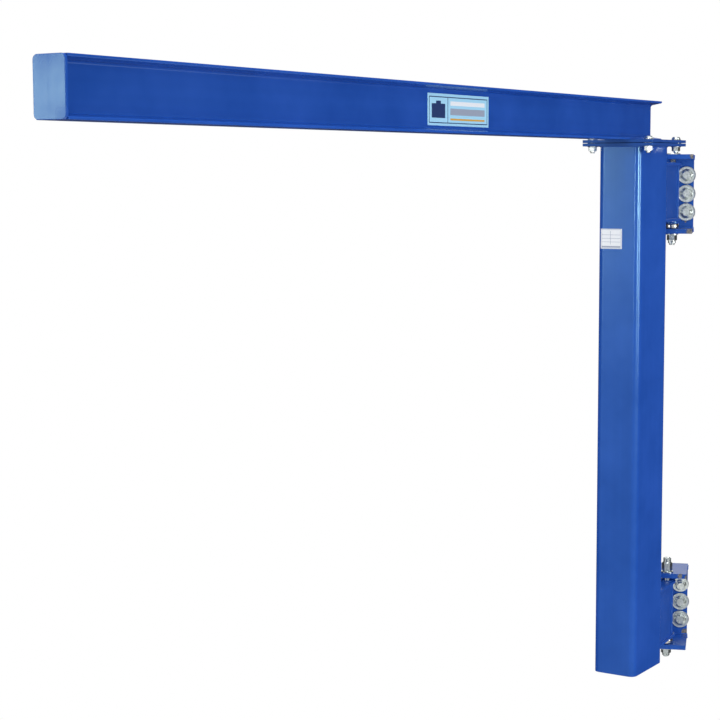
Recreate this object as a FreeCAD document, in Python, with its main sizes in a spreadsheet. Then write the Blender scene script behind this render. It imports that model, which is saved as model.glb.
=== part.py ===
"""Wall-bracket jib crane in millimetres.

X points out of the wall, Z up. The origin is on the back face of the lower wall plate, at its
centre. The swinging half is drawn with its boom along X and the hinge axis at X = Y = 0, and is
then placed on the brackets' hinge axis, turned by the rest swing.
"""
import FreeCAD
import Part
import Sketcher
import os

# Driving sizes: name, value, what it is
SIZES = [
    ("wall_plate_width", 108.0, "wall plate, side to side"),
    ("wall_plate_height", 213.4, "wall plate, top to bottom"),
    ("wall_plate_thickness", 12.7, "wall plate, back to front"),
    ("wall_hole_radius", 9.5, "clearance hole for a wall bolt"),
    ("wall_hole_spacing", 69.0, "between the two columns of wall holes"),
    ("wall_hole_pitch", 50.8, "between wall holes in a column"),
    ("bracket_spacing", 1148.8, "between the two brackets' centres"),
    ("ear_depth", 128.0, "ear, from the wall plate outwards"),
    ("ear_thickness", 12.7, "ear"),
    ("pivot_reach", 106.0, "hinge axis in front of the wall plate"),
    ("pivot_radius", 7.94, "hinge bolt's shank"),
    ("ear_hole_clearance", 0.8, "hinge bolt in an ear, on the radius"),
    ("running_clearance", 0.06, "hinge bolt in a sleeve, on the radius"),
    ("pivot_nut_flats", 24.0, "hinge nut, across its flats"),
    ("pivot_nut_height", 16.0, "nut under the lower hinge bolt"),
    ("upper_nut_height", 22.0, "nut under the upper hinge bolt"),
    ("tall_nut_height", 30.0, "nut on top of the lower hinge bolt"),
    ("nut_thread_clearance", 0.2, "bolt in a nut, on the radius"),
    ("pivot_washer_radius", 17.0, "washer of a hinge bolt"),
    ("pivot_washer_thickness", 3.0, "washer of a hinge bolt"),
    ("pivot_head_radius", 20.5, "round head of the upper hinge bolt"),
    ("pivot_head_height", 2.8, "round head of the upper hinge bolt"),
    ("bolt_end", 6.0, "hinge bolt beyond its nut"),
    ("ring_radius", 18.0, "thrust ring"),
    ("ring_height", 14.2, "thrust ring"),
    ("seat_gap", 0.3, "between a thrust ring and the sleeve on it"),
    ("sleeve_radius", 17.5, "hinge sleeve, outside"),
    ("sleeve_headroom", 8.5, "between the sleeve's top and the ear over it"),
    ("sleeve_above", 1.5, "sleeve above the knuckle's top plate"),
    ("sleeve_below", 6.9, "sleeve below the knuckle's bottom plate"),
    ("end_plate_height", 7.0, "knuckle's level plates, top to bottom"),
    ("end_plate_radius", 24.0, "knuckle's level plates, round the hinge"),
    ("end_plate_spread", 82.0, "knuckle's level plates, at the mast"),
    ("knuckle_thickness", 6.35, "knuckle side plate"),
    ("knuckle_spread", 77.0, "outside of the side plates at the mast"),
    ("mast_setback", 164.0, "hinge axis to the mast's back"),
    ("mast_depth", 182.0, "mast tube along the boom"),
    ("mast_width", 117.0, "mast tube across the boom"),
    ("mast_wall", 6.35, "mast tube's wall"),
    ("mast_corner", 17.5, "mast tube's outer corner radius"),
    ("mast_rise", 18.3, "mast's top above the upper bracket"),
    ("mast_foot_lift", 6.3, "mast's foot above the lower bracket's bottom"),
    ("joint_plate_depth", 216.0, "plates between mast and boom, along the boom"),
    ("joint_plate_width", 194.0, "plates between mast and boom, across"),
    ("joint_plate_thickness", 8.0, "each plate between mast and boom"),
    ("joint_plate_corner", 3.0, "corner radius of these plates"),
    ("joint_plate_back", 20.0, "plates' edge behind the mast's back"),
    ("joint_hole_radius", 7.1, "clearance hole for a plate bolt"),
    ("joint_hole_inset", 20.0, "plate bolt from each edge"),
    ("boom_back", 13.5, "boom's rear end in front of the plates' back edge"),
    ("boom_length", 2286.0, "boom with its end plate"),
    ("boom_depth", 101.6, "I-beam, top to bottom"),
    ("flange_width", 67.6, "I-beam's flange"),
    ("web_thickness", 4.9, "I-beam's web"),
    ("flange_toe", 4.9, "flange at its edge"),
    ("flange_rise", 5.2, "flange's gain in thickness from edge to web"),
    ("root_radius", 6.9, "fillet between flange and web"),
    ("toe_radius", 2.8, "rounding under the flange's edge"),
    ("end_plate_thickness", 6.35, "plate on the boom's tip"),
    ("end_plate_corner", 9.0, "corner radius of that plate"),
    ("rest_swing", 21.0, "boom turned from square to the wall, in degrees"),
]


class Size:
    """A length that knows its value and the sheet formula that gives it."""

    def __init__(self, value, formula):
        self.value = value
        self.formula = formula

    def __add__(self, other):
        return Size(self.value + value_of(other), f"({self.formula} + {formula_of(other)})")

    def __sub__(self, other):
        return Size(self.value - value_of(other), f"({self.formula} - {formula_of(other)})")

    def __rsub__(self, other):
        return Size(value_of(other) - self.value, f"({formula_of(other)} - {self.formula})")

    def __mul__(self, other):
        return Size(self.value * value_of(other), f"({self.formula} * {formula_of(other)})")

    def __truediv__(self, other):
        return Size(self.value / value_of(other), f"({self.formula} / {formula_of(other)})")

    def __neg__(self):
        return Size(-self.value, f"(-1 * {self.formula})")

    __radd__ = __add__
    __rmul__ = __mul__


def value_of(number):
    return number.value if isinstance(number, Size) else float(number)


def formula_of(number):
    return number.formula if isinstance(number, Size) else f"({float(number)})"


class Sheet:
    """Writes the driving sizes to the document's sheet and hands each out as a Size."""

    def __init__(self, document, entries):
        cells = document.addObject("Spreadsheet::Sheet", "Sizes")
        for line, (name, value, meaning) in enumerate(entries, 1):
            cells.set(f"A{line}", name)
            cells.set(f"B{line}", str(value))
            cells.setAlias(f"B{line}", name)
            cells.set(f"C{line}", meaning)
            setattr(self, name, Size(value, f"Sizes.{name}"))


doc = FreeCAD.newDocument("jib_crane")
size = Sheet(doc, SIZES)
doc.recompute()
SUB_PARTS = []

# Levels and distances that several pieces share
HEX_CORNER = 2.0 / 3.0 ** 0.5
pivot_x = size.wall_plate_thickness + size.pivot_reach
bracket_half = size.wall_plate_height / 2
ear_inner = bracket_half - size.ear_thickness
sleeve_foot = size.ring_height + size.seat_gap - ear_inner
sleeve_head = ear_inner - size.sleeve_headroom
mast_foot = size.mast_foot_lift - bracket_half
mast_top = size.bracket_spacing + bracket_half + size.mast_rise
boom_bottom = mast_top + size.joint_plate_thickness * 2
plates_back = size.mast_setback - size.joint_plate_back
boom_rear = plates_back + size.boom_back
BRACKETS = {"lower": Size(0.0, "(0.0)"), "upper": size.bracket_spacing}


def bind(item, path, length):
    """Tie a property to its formula, so that it follows the sheet."""
    item.setExpression(path, formula_of(length))


def as_sub_part(item, label):
    item.Label = label
    SUB_PARTS.append(item)
    return item


def on_jib(item):
    """Put a piece of the swinging half on the hinge axis, turned by the rest swing."""
    turn = "create(<<rotation>>; create(<<vector>>; 0; 0; 1); -1 * Sizes.rest_swing)"
    spot = f"create(<<vector>>; {pivot_x.formula}; 0; 0)"
    item.setExpression("Placement", f"create(<<placement>>; {spot}; {turn})")


def new_body(label):
    return as_sub_part(doc.addObject("PartDesign::Body", label), label)


def new_sketch(body, name, plane, offset=0):
    """A sketch on one of the body's own origin planes, moved along its normal."""
    sketch = body.newObject("Sketcher::SketchObject", name)
    base = [part for part in body.Origin.OriginFeatures if part.Role == plane][0]
    sketch.AttachmentSupport = [(base, "")]
    sketch.MapMode = "FlatFace"
    bind(sketch, ".AttachmentOffset.Base.z", offset)
    return sketch


def hold(sketch, way, entry, spot, length):
    """Fix one coordinate of a sketch point, with its sign kept in the order of the points."""
    axis = {"DistanceX": -2, "DistanceY": -1}[way]
    if value_of(length) == 0:
        sketch.addConstraint(Sketcher.Constraint("PointOnObject", entry, spot, axis))
        return
    ends = (-1, 1, entry, spot)
    if value_of(length) < 0:
        ends = (entry, spot, -1, 1)
        length = -1 * length
    number = sketch.addConstraint(Sketcher.Constraint(way, *ends, value_of(length)))
    bind(sketch, f"Constraints[{number}]", length)


def draw_polygon(sketch, points):
    """A closed outline whose corners are all held from the sketch's origin."""
    corners = [FreeCAD.Vector(value_of(a), value_of(b), 0) for a, b in points]
    first = sketch.GeometryCount
    count = len(points)
    for turn, corner in enumerate(corners):
        sketch.addGeometry(Part.LineSegment(corner, corners[(turn + 1) % count]), False)
    for turn in range(count):
        joined = ("Coincident", first + turn, 2, first + (turn + 1) % count, 1)
        sketch.addConstraint(Sketcher.Constraint(*joined))
    for turn, (across, up) in enumerate(points):
        hold(sketch, "DistanceX", first + turn, 1, across)
        hold(sketch, "DistanceY", first + turn, 1, up)


def draw_rectangle(sketch, low_x, high_x, low_y, high_y):
    draw_polygon(sketch, [(low_x, low_y), (high_x, low_y), (high_x, high_y), (low_x, high_y)])


def draw_circle(sketch, across, up, radius):
    centre = FreeCAD.Vector(value_of(across), value_of(up), 0)
    circle = Part.Circle(centre, FreeCAD.Vector(0, 0, 1), value_of(radius))
    entry = sketch.addGeometry(circle, False)
    number = sketch.addConstraint(Sketcher.Constraint("Radius", entry, value_of(radius)))
    bind(sketch, f"Constraints[{number}]", radius)
    hold(sketch, "DistanceX", entry, 3, across)
    hold(sketch, "DistanceY", entry, 3, up)


def pad(body, sketch, length):
    feature = body.newObject("PartDesign::Pad", sketch.Name + "_pad")
    feature.Profile = sketch
    bind(feature, "Length", length)
    doc.recompute()
    return feature


def cut_through(body, sketch):
    """A pocket right through the body, whose volume must fall."""
    before = body.Shape.Volume
    feature = body.newObject("PartDesign::Pocket", sketch.Name + "_cut")
    feature.Profile = sketch
    feature.Type = "ThroughAll"
    feature.Midplane = True
    doc.recompute()
    if body.Shape.Volume >= before:
        raise RuntimeError(f"{feature.Name} cuts nothing")
    return feature


def round_edges(body, feature, radius, belongs):
    """Round the straight edges for which belongs(middle, direction) holds."""
    names = []
    for number, edge in enumerate(feature.Shape.Edges, 1):
        if edge.Curve.TypeId != "Part::GeomLine":
            continue
        middle = edge.CenterOfMass
        if belongs(middle, edge.tangentAt(edge.FirstParameter)):
            names.append(f"Edge{number}")
    if not names:
        raise RuntimeError(f"{feature.Name} has no edge to round")
    fillet = body.newObject("PartDesign::Fillet", feature.Name + "_round")
    fillet.Base = (feature, names)
    bind(fillet, "Radius", radius)
    doc.recompute()
    return fillet


def upright(direction):
    return abs(direction.z) > 0.99


def lengthwise(direction):
    return abs(direction.x) > 0.99


def cylinder(label, radius, height, foot):
    piece = doc.addObject("Part::Cylinder", label)
    bind(piece, "Radius", radius)
    bind(piece, "Height", height)
    bind(piece, ".Placement.Base.x", pivot_x)
    bind(piece, ".Placement.Base.z", foot)
    return piece


def hexagon(label, across_flats, height, foot):
    piece = doc.addObject("Part::Prism", label)
    piece.Polygon = 6
    bind(piece, "Circumradius", across_flats / 2 * HEX_CORNER)
    bind(piece, "Height", height)
    bind(piece, ".Placement.Base.x", pivot_x)
    bind(piece, ".Placement.Base.z", foot)
    return piece


def bored(label, blank, radius, height, foot):
    """The blank with a round hole of its own height on the hinge axis."""
    hole = cylinder(label + "_bore", radius, height, foot)
    cut = doc.addObject("Part::Cut", label)
    cut.Base = blank
    cut.Tool = hole
    return cut


def joined(label, pieces):
    fuse = doc.addObject("Part::MultiFuse", label)
    fuse.Shapes = pieces
    fuse.Refine = True
    return as_sub_part(fuse, label)


# Wall brackets


def wall_plate(side, centre):
    """Back plate with two columns of three bolt holes."""
    body = new_body(f"{side}_wall_plate")
    outline = new_sketch(body, f"{side}_plate_outline", "YZ_Plane")
    half_width = size.wall_plate_width / 2
    draw_rectangle(
        outline, -half_width, half_width, centre - bracket_half, centre + bracket_half
    )
    pad(body, outline, size.wall_plate_thickness)
    holes = new_sketch(body, f"{side}_plate_holes", "YZ_Plane")
    for column in (-0.5, 0.5):
        for row in (-1, 0, 1):
            across = size.wall_hole_spacing * column
            up = centre + size.wall_hole_pitch * row
            draw_circle(holes, across, up, size.wall_hole_radius)
    cut_through(body, holes)


def ear(side, end, foot):
    """Level ear welded to the front of the wall plate, with the hinge bolt's hole."""
    body = new_body(f"{side}_{end}_ear")
    outline = new_sketch(body, f"{side}_{end}_ear_outline", "XY_Plane", foot)
    half_width = size.wall_plate_width / 2
    back = size.wall_plate_thickness
    draw_rectangle(outline, back, back + size.ear_depth, -half_width, half_width)
    pad(body, outline, size.ear_thickness)
    hole = new_sketch(body, f"{side}_{end}_ear_hole", "XY_Plane", foot)
    draw_circle(hole, pivot_x, 0, size.pivot_radius + size.ear_hole_clearance)
    cut_through(body, hole)


def washer(label, foot):
    height = size.pivot_washer_thickness
    blank = cylinder(label + "_blank", size.pivot_washer_radius, height, foot)
    return bored(label, blank, size.pivot_radius + size.nut_thread_clearance, height, foot)


def nut(label, height, foot):
    blank = hexagon(label + "_blank", size.pivot_nut_flats, height, foot)
    return bored(label, blank, size.pivot_radius + size.nut_thread_clearance, height, foot)


def thrust_ring(side, centre):
    foot = centre - ear_inner
    label = f"{side}_thrust_ring"
    blank = cylinder(label + "_blank", size.ring_radius, size.ring_height, foot)
    bore = size.pivot_radius + size.ear_hole_clearance
    as_sub_part(bored(label, blank, bore, size.ring_height, foot), label)


def upper_hinge_bolt(centre):
    """Round-headed bolt dropped through both ears, with one nut below."""
    under_ear = centre - bracket_half
    washer_foot = under_ear - size.pivot_washer_thickness
    nut_foot = washer_foot - size.upper_nut_height
    shank_foot = nut_foot - size.bolt_end
    shank_top = centre + bracket_half
    shank = cylinder("upper_shank", size.pivot_radius, shank_top - shank_foot, shank_foot)
    head = cylinder("upper_head", size.pivot_head_radius, size.pivot_head_height, shank_top)
    joined("upper_pivot_bolt", [shank, head])
    as_sub_part(washer("upper_pivot_washer", washer_foot), "upper_pivot_washer")
    as_sub_part(nut("upper_pivot_nut", size.upper_nut_height, nut_foot), "upper_pivot_nut")


def lower_hinge_bolt(centre):
    """Stud through both ears, with a washer and nut at each end."""
    under_ear = centre - bracket_half
    low_washer = under_ear - size.pivot_washer_thickness
    low_nut = low_washer - size.pivot_nut_height
    foot = low_nut - size.bolt_end
    top_washer = centre + bracket_half
    top_nut = top_washer + size.pivot_washer_thickness
    top = top_nut + size.tall_nut_height + size.bolt_end
    stud = cylinder("lower_pivot_bolt", size.pivot_radius, top - foot, foot)
    as_sub_part(stud, "lower_pivot_bolt")
    pair = [washer("lower_low_washer", low_washer), washer("lower_top_washer", top_washer)]
    joined("lower_pivot_washers", pair)
    low = nut("lower_low_nut", size.pivot_nut_height, low_nut)
    high = nut("lower_top_nut", size.tall_nut_height, top_nut)
    joined("lower_pivot_nuts", [low, high])


# Swinging half


def sleeve(side, centre):
    foot = centre + sleeve_foot
    length = sleeve_head - sleeve_foot
    label = f"{side}_sleeve"
    blank = cylinder(label + "_blank", size.sleeve_radius, length, foot)
    bore = size.pivot_radius + size.running_clearance
    as_sub_part(bored(label, blank, bore, length, foot), label)


def knuckle_end(side, end, foot):
    """Level plate of a knuckle, round at the sleeve, which passes through it."""
    label = f"{side}_knuckle_{end}"
    body = new_body(label)
    outline = new_sketch(body, label + "_outline", "XY_Plane", foot)
    reach = size.end_plate_radius
    half_spread = size.end_plate_spread / 2
    draw_polygon(outline, [
        (0, -reach), (size.mast_setback, -half_spread), (size.mast_setback, half_spread),
        (0, reach),
    ])
    pad(body, outline, size.end_plate_height)
    nose = new_sketch(body, label + "_nose", "XY_Plane", foot)
    draw_circle(nose, 0, 0, reach)
    pad(body, nose, size.end_plate_height)
    hole = new_sketch(body, label + "_hole", "XY_Plane", foot)
    draw_circle(hole, 0, 0, size.sleeve_radius)
    cut_through(body, hole)
    on_jib(body)


def knuckle_side(side, face, turn, foot, height):
    """Side plate from the mast's back to the sleeve, coped round it; turn is +1 or -1."""
    label = f"{side}_knuckle_{face}"
    body = new_body(label)
    outline = new_sketch(body, label + "_outline", "XY_Plane", foot)
    at_mast = size.knuckle_spread / 2
    at_hinge = size.sleeve_radius * 0.9
    thick = size.knuckle_thickness
    draw_polygon(outline, [
        (0, (at_hinge - thick) * turn),
        (size.mast_setback, (at_mast - thick) * turn),
        (size.mast_setback, at_mast * turn),
        (0, at_hinge * turn),
    ])
    pad(body, outline, height)
    cope = new_sketch(body, label + "_cope", "XY_Plane", foot)
    draw_circle(cope, 0, 0, size.sleeve_radius)
    cut_through(body, cope)
    on_jib(body)


def knuckle(side, centre):
    """Two level plates with two side plates between them, all welded to mast and sleeve."""
    low_foot = centre + sleeve_foot + size.sleeve_below
    high_foot = centre + sleeve_head - size.sleeve_above - size.end_plate_height
    side_foot = low_foot + size.end_plate_height
    knuckle_end(side, "bottom", low_foot)
    knuckle_end(side, "top", high_foot)
    knuckle_side(side, "near", 1, side_foot, high_foot - side_foot)
    knuckle_side(side, "far", -1, side_foot, high_foot - side_foot)


def mast_tube():
    body = new_body("mast_tube")
    back = size.mast_setback
    front = back + size.mast_depth
    side = size.mast_width / 2
    wall = size.mast_wall
    outline = new_sketch(body, "mast_outline", "XY_Plane", mast_foot)
    draw_rectangle(outline, back, front, -side, side)
    bore = new_sketch(body, "mast_bore", "XY_Plane", mast_foot)
    draw_rectangle(bore, back + wall, front - wall, wall - side, side - wall)
    pad(body, outline, mast_top - mast_foot)
    hollow = cut_through(body, bore)

    def outside(middle, direction):
        return upright(direction) and abs(middle.y) > side.value - 0.1

    def inside(middle, direction):
        in_bore = abs(middle.y) < side.value - wall.value + 0.1
        in_depth = back.value + 0.1 < middle.x < front.value - 0.1
        return upright(direction) and in_bore and in_depth

    corners = round_edges(body, hollow, size.mast_corner, outside)
    round_edges(body, corners, size.mast_corner - wall, inside)
    on_jib(body)


def joint_plate(label, foot):
    """One of the two like plates bolted together between mast and boom."""
    body = new_body(label)
    outline = new_sketch(body, label + "_outline", "XY_Plane", foot)
    side = size.joint_plate_width / 2
    front = plates_back + size.joint_plate_depth
    draw_rectangle(outline, plates_back, front, -side, side)
    plate = pad(body, outline, size.joint_plate_thickness)
    round_edges(
        body, plate, size.joint_plate_corner, lambda middle, direction: upright(direction)
    )
    holes = new_sketch(body, label + "_holes", "XY_Plane", foot)
    inset = size.joint_hole_inset
    for along in (plates_back + inset, front - inset):
        for across in (inset - side, side - inset):
            draw_circle(holes, along, across, size.joint_hole_radius)
    cut_through(body, holes)
    on_jib(body)


def boom_beam():
    """I-beam with sloping inner flange faces, rolled in one piece."""
    body = new_body("boom_beam")
    outline = new_sketch(body, "beam_section", "YZ_Plane", boom_rear)
    edge = size.flange_width / 2
    web = size.web_thickness / 2
    low = boom_bottom
    high = low + size.boom_depth
    toe = size.flange_toe
    root = toe + size.flange_rise
    right_half = [
        (edge, low), (edge, low + toe), (web, low + root),
        (web, high - root), (edge, high - toe), (edge, high),
    ]
    left_half = [(-across, up) for across, up in reversed(right_half)]
    draw_polygon(outline, right_half + left_half)
    beam = pad(body, outline, size.boom_length - size.end_plate_thickness)

    def roots(middle, direction):
        return lengthwise(direction) and abs(abs(middle.y) - web.value) < 0.1

    def toes(middle, direction):
        level = min(middle.z - low.value, high.value - middle.z)
        at_edge = abs(abs(middle.y) - edge.value) < 0.1
        return lengthwise(direction) and at_edge and abs(level - toe.value) < 0.1

    filled = round_edges(body, beam, size.root_radius, roots)
    round_edges(body, filled, size.toe_radius, toes)
    on_jib(body)


def boom_end_plate():
    body = new_body("boom_end_plate")
    start = boom_rear + size.boom_length - size.end_plate_thickness
    outline = new_sketch(body, "end_plate_outline", "YZ_Plane", start)
    side = size.flange_width / 2
    draw_rectangle(outline, -side, side, boom_bottom, boom_bottom + size.boom_depth)
    plate = pad(body, outline, size.end_plate_thickness)
    round_edges(
        body, plate, size.end_plate_corner, lambda middle, direction: lengthwise(direction)
    )
    on_jib(body)


def build():
    for side, centre in BRACKETS.items():
        wall_plate(side, centre)
        ear(side, "bottom", centre - bracket_half)
        ear(side, "top", centre + ear_inner)
        thrust_ring(side, centre)
        sleeve(side, centre)
        knuckle(side, centre)
    upper_hinge_bolt(BRACKETS["upper"])
    lower_hinge_bolt(BRACKETS["lower"])
    mast_tube()
    joint_plate("mast_top_plate", mast_top)
    joint_plate("boom_base_plate", mast_top + size.joint_plate_thickness)
    boom_beam()
    boom_end_plate()


def check_and_write():
    """Stop on any failed object, then write one STEP file for each sub-part."""
    doc.recompute()
    failed = [
        item.Label for item in doc.Objects if {"Invalid", "Error"} & set(item.State)
    ]
    if failed:
        raise RuntimeError("failed objects: " + ", ".join(failed))
    os.makedirs("parts", exist_ok=True)
    for item in SUB_PARTS:
        if item.Shape.isNull() or not item.Shape.isValid():
            raise RuntimeError(f"{item.Label} has no valid shape")
    for item in SUB_PARTS:
        item.Shape.exportStep(f"parts/{item.Label}.step")
        box = item.Shape.BoundBox
        print(f"{item.Label:22s} {len(item.Shape.Solids)} solids {item.Shape.Volume:12.0f} mm3"
              f"  x {box.XMin:7.1f} {box.XMax:7.1f}  y {box.YMin:7.1f} {box.YMax:7.1f}"
              f"  z {box.ZMin:7.1f} {box.ZMax:7.1f}")


build()
check_and_write()
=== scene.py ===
# %% [markdown]
# # A wall-bracket jib crane in gloss blue enamel
# The crane is a short mast hung on two bolted wall brackets, with an I-beam boom on its top.
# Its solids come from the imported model. This lesson gives each of them a painted or plated
# finish, adds the bolts, threads, welds and labels, and lights it like a catalogue picture.

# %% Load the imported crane
import math

import bmesh
import bpy
from mathutils import Matrix, Vector


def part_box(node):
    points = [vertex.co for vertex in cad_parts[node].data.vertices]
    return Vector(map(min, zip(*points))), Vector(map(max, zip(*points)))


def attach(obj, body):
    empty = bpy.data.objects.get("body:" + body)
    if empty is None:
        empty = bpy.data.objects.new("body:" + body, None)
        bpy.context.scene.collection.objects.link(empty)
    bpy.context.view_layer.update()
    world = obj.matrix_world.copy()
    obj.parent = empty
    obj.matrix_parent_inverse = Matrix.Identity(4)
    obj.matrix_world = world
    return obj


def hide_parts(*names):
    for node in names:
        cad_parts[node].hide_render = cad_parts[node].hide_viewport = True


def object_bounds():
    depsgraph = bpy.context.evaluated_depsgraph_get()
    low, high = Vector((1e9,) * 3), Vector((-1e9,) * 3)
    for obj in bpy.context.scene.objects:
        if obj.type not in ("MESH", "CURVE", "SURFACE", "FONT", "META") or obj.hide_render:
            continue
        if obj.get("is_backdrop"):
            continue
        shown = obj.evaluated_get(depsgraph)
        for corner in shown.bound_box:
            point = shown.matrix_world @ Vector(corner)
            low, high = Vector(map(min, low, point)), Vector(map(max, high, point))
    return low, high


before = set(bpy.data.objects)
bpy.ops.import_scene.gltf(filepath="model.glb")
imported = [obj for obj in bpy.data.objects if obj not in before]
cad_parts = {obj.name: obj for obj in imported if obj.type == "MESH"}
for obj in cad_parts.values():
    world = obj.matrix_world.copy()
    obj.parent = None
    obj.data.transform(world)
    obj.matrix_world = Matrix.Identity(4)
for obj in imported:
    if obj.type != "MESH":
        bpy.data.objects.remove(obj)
cad_low, cad_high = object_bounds()
scene = bpy.context.scene
scene.view_settings.view_transform = "Standard"
MM = 0.001
SWING = math.radians(-21.0)  # how far the boom stands from square to the wall in the picture
print("nodes", len(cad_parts), "size", [round(n, 3) for n in cad_high - cad_low])

# %% [markdown]
# ## Camera
# The picture was taken from in front of the boom's tip with a long lens, a little above the
# middle of the mast. The place, turn and lens were fitted to the crane's corners, so they are
# written here as numbers instead of being aimed by eye.

# %% Place the camera
EYE = Vector((5.0087, 0.1643, 1.2019))
YAW, PITCH, ROLL = (math.radians(angle) for angle in (11.909, 5.947, -0.216))
FOCAL_LENGTH = 88.557
ahead = Vector((-math.cos(YAW), -math.sin(YAW), 0.0))
right = Vector((-math.sin(YAW), math.cos(YAW), 0.0))
above = Vector((0.0, 0.0, 1.0))
up = ahead * math.sin(PITCH) + above * math.cos(PITCH)
forward = ahead * math.cos(PITCH) - above * math.sin(PITCH)
tilted_right = right * math.cos(ROLL) + up * math.sin(ROLL)
tilted_up = up * math.cos(ROLL) - right * math.sin(ROLL)
camera_data = bpy.data.cameras.new("catalogue_lens")
camera_data.sensor_width = 36.0
camera_data.lens = FOCAL_LENGTH
camera = bpy.data.objects.new("catalogue_camera", camera_data)
turn = Matrix((tilted_right, tilted_up, -forward)).transposed()
camera.matrix_world = Matrix.Translation(EYE) @ turn.to_4x4()
scene.collection.objects.link(camera)
scene.camera = camera
print("lens", FOCAL_LENGTH, "mm at", [round(n, 3) for n in EYE])

# %% [markdown]
# ## Nodes and colours
# Every finish and every repeated shape below is a small tree of nodes. One helper adds a node,
# sets it and links it. One function turns the sRGB hex codes that people read off a screen
# into the linear numbers that the renderer works with.

# %% Turn hex codes into linear colours
def hex_to_linear(code):
    """sRGB hex such as 1F4BA0 to linear red, green, blue and alpha."""
    channels = [int(code[n:n + 2], 16) / 255 for n in (0, 2, 4)]
    linear = [c / 12.92 if c <= 0.04045 else ((c + 0.055) / 1.055) ** 2.4 for c in channels]
    return (*linear, 1.0)


print("white", hex_to_linear("FFFFFF"))


# %% Add a node with its settings and links
def add_node(tree, kind, settings=None, inputs=None, steps=()):
    """Inputs are values or (node, output) pairs; steps are (position, hex) of a colour ramp."""
    node = tree.nodes.new(kind)
    for name, value in (settings or {}).items():
        setattr(node, name, value)
    for name, value in (inputs or {}).items():
        socket = node.inputs[name]
        if isinstance(value, tuple) and isinstance(value[0], bpy.types.Node):
            tree.links.new(value[0].outputs[value[1]], socket)
        else:
            socket.default_value = value
    while steps and len(node.color_ramp.elements) < len(steps):
        node.color_ramp.elements.new(0.5)
    for number, (position, code) in enumerate(steps):
        node.color_ramp.elements[number].position = position
        node.color_ramp.elements[number].color = hex_to_linear(code)
    return node


def new_material(name):
    """An empty material: its tree is ready for nodes."""
    material = bpy.data.materials.new(name)
    material.use_nodes = True
    material.node_tree.nodes.clear()
    return material, material.node_tree


print("one helper for every node")

# %% [markdown]
# ## Studio
# The catalogue picture has a pure white ground, a bright room in front of the crane and dark
# walls at its sides. The dark sides keep the blue deep on every face that mirrors them, and
# two narrow strips, one on each side of the camera, draw the thin bright lines along the
# mast's rounded corner. Two softboxes and one overhead give the faces their level light.
#
# The world says how bright each direction is. X points from the wall to the room in front of
# the crane and Z points up, so the numbers below are parts of a direction one long.

# %% Light the world
def sees_white(tree, paper):
    """1 for camera and transmission rays, and for glossy rays times the paper they meet."""
    path = add_node(tree, "ShaderNodeLightPath")
    direct = add_node(tree, "ShaderNodeMath", {"operation": "MAXIMUM"}, {
        0: (path, "Is Camera Ray"), 1: (path, "Is Transmission Ray")})
    mirrored = add_node(tree, "ShaderNodeMath", {"operation": "MULTIPLY"}, {
        0: (path, "Is Glossy Ray"), 1: paper})
    return add_node(tree, "ShaderNodeMath", {"operation": "MAXIMUM"}, {
        0: (direct, 0), 1: (mirrored, 0)})


world = bpy.data.worlds.new("white_studio")
scene.world = world
world.use_nodes = True
sky = world.node_tree
sky.nodes.clear()
heading = add_node(sky, "ShaderNodeTexCoord")
axes = add_node(sky, "ShaderNodeSeparateXYZ", inputs={"Vector": (heading, "Generated")})
# Straight behind the crane, and a little above level, the white paper is mirrored.
behind = add_node(sky, "ShaderNodeMapRange", {"interpolation_type": "SMOOTHSTEP"}, {
    "Value": (axes, "X"), "From Min": -0.84, "From Max": -0.95})
raised = add_node(sky, "ShaderNodeMapRange", {"interpolation_type": "SMOOTHSTEP"}, {
    "Value": (axes, "Z"), "From Min": 0.03, "From Max": 0.15})
paper = add_node(sky, "ShaderNodeMath", {"operation": "MULTIPLY"}, {
    0: (behind, "Result"), 1: (raised, "Result")})
# In front the room is brightest from eye level up. The sides stay dark to the ceiling.
front = add_node(sky, "ShaderNodeMapRange", {"interpolation_type": "SMOOTHSTEP"}, {
    "Value": (axes, "Z"), "From Min": -0.30, "From Max": 0.05, "To Min": 0.45, "To Max": 0.95})
ceiling = add_node(sky, "ShaderNodeMapRange", {"interpolation_type": "SMOOTHSTEP"}, {
    "Value": (axes, "Z"), "From Min": 0.45, "From Max": 0.85, "To Min": 0.04, "To Max": 0.55})
room = add_node(sky, "ShaderNodeMapRange", {"interpolation_type": "SMOOTHSTEP"}, {
    "Value": (axes, "X"), "From Min": 0.0, "From Max": 0.6, "To Min": (ceiling, "Result"),
    "To Max": (front, "Result")})
# Only mirrored rays see the room: all other light comes evenly from everywhere.
path = add_node(sky, "ShaderNodeLightPath")
level = add_node(sky, "ShaderNodeMapRange", {}, {
    "Value": (path, "Is Glossy Ray"), "To Min": 0.72, "To Max": (room, "Result")})
soft = add_node(sky, "ShaderNodeBackground", {}, {
    "Color": hex_to_linear("F2F5FA"), "Strength": (level, "Result")})
plain_white = add_node(sky, "ShaderNodeBackground", {}, {
    "Color": (1, 1, 1, 1), "Strength": 1.0})
blend = add_node(sky, "ShaderNodeMixShader", {}, {
    "Fac": (sees_white(sky, (paper, 0)), 0), 1: (soft, 0), 2: (plain_white, 0)})
add_node(sky, "ShaderNodeOutputWorld", {}, {"Surface": (blend, 0)})
print("world", world.name)


# %% Hang the lamps
def soft_lamp(name, place, target, width, height, watts):
    """A rectangular area lamp aimed at a point."""
    data = bpy.data.lights.new(name, "AREA")
    data.shape = "RECTANGLE"
    data.size = width
    data.size_y = height
    data.energy = watts
    lamp = bpy.data.objects.new(name, data)
    aim = Vector(target) - Vector(place)
    lamp.matrix_world = (Matrix.Translation(Vector(place))
                         @ aim.to_track_quat("-Z", "Y").to_matrix().to_4x4())
    scene.collection.objects.link(lamp)
    return lamp


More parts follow.
